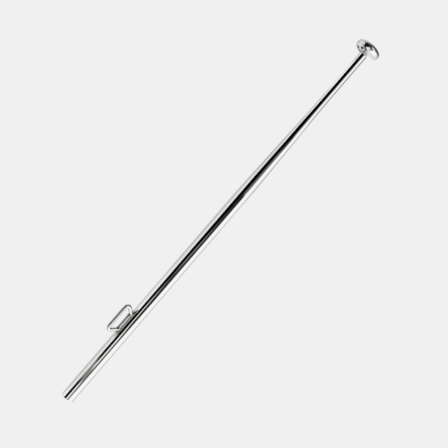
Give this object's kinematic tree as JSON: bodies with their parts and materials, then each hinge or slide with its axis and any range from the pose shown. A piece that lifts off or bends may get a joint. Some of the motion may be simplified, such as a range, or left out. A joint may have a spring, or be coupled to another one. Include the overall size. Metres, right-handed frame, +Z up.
{
  "type": "boat flagstaff",
  "caption": "Polished stainless flagstaff: a swaged tapering tube with a plain socket foot, a closed bent-wire halyard cleat and a flattened-ball truck drilled for the halyard.",
  "frame": {"origin": "centre of the foot's flat lower face, on the staff's axis", "axes": "+Z up the staff from the foot to the truck; -Y is the front, the side that carries the cleat and the two halyard holes; +X to the right seen from the front"},
  "size_m": [0.047, 0.0598, 0.8225],
  "materials": {
    "polished_steel": "mirror-polished stainless steel",
    "weld_steel": "dressed and polished weld bead",
    "turned_steel": "as turned",
    "nylon": "natural nylon, fine matte"
  },
  "bodies": {
    "root": {"foot_spigot": "polished_steel", "pole_tube": "polished_steel", "halyard_cleat": "polished_steel", "cleat_welds": "weld_steel", "tip_insert": "turned_steel", "truck_stud": "turned_steel", "seat_washer": "nylon", "truck": "polished_steel"}
  },
  "joints": []
}
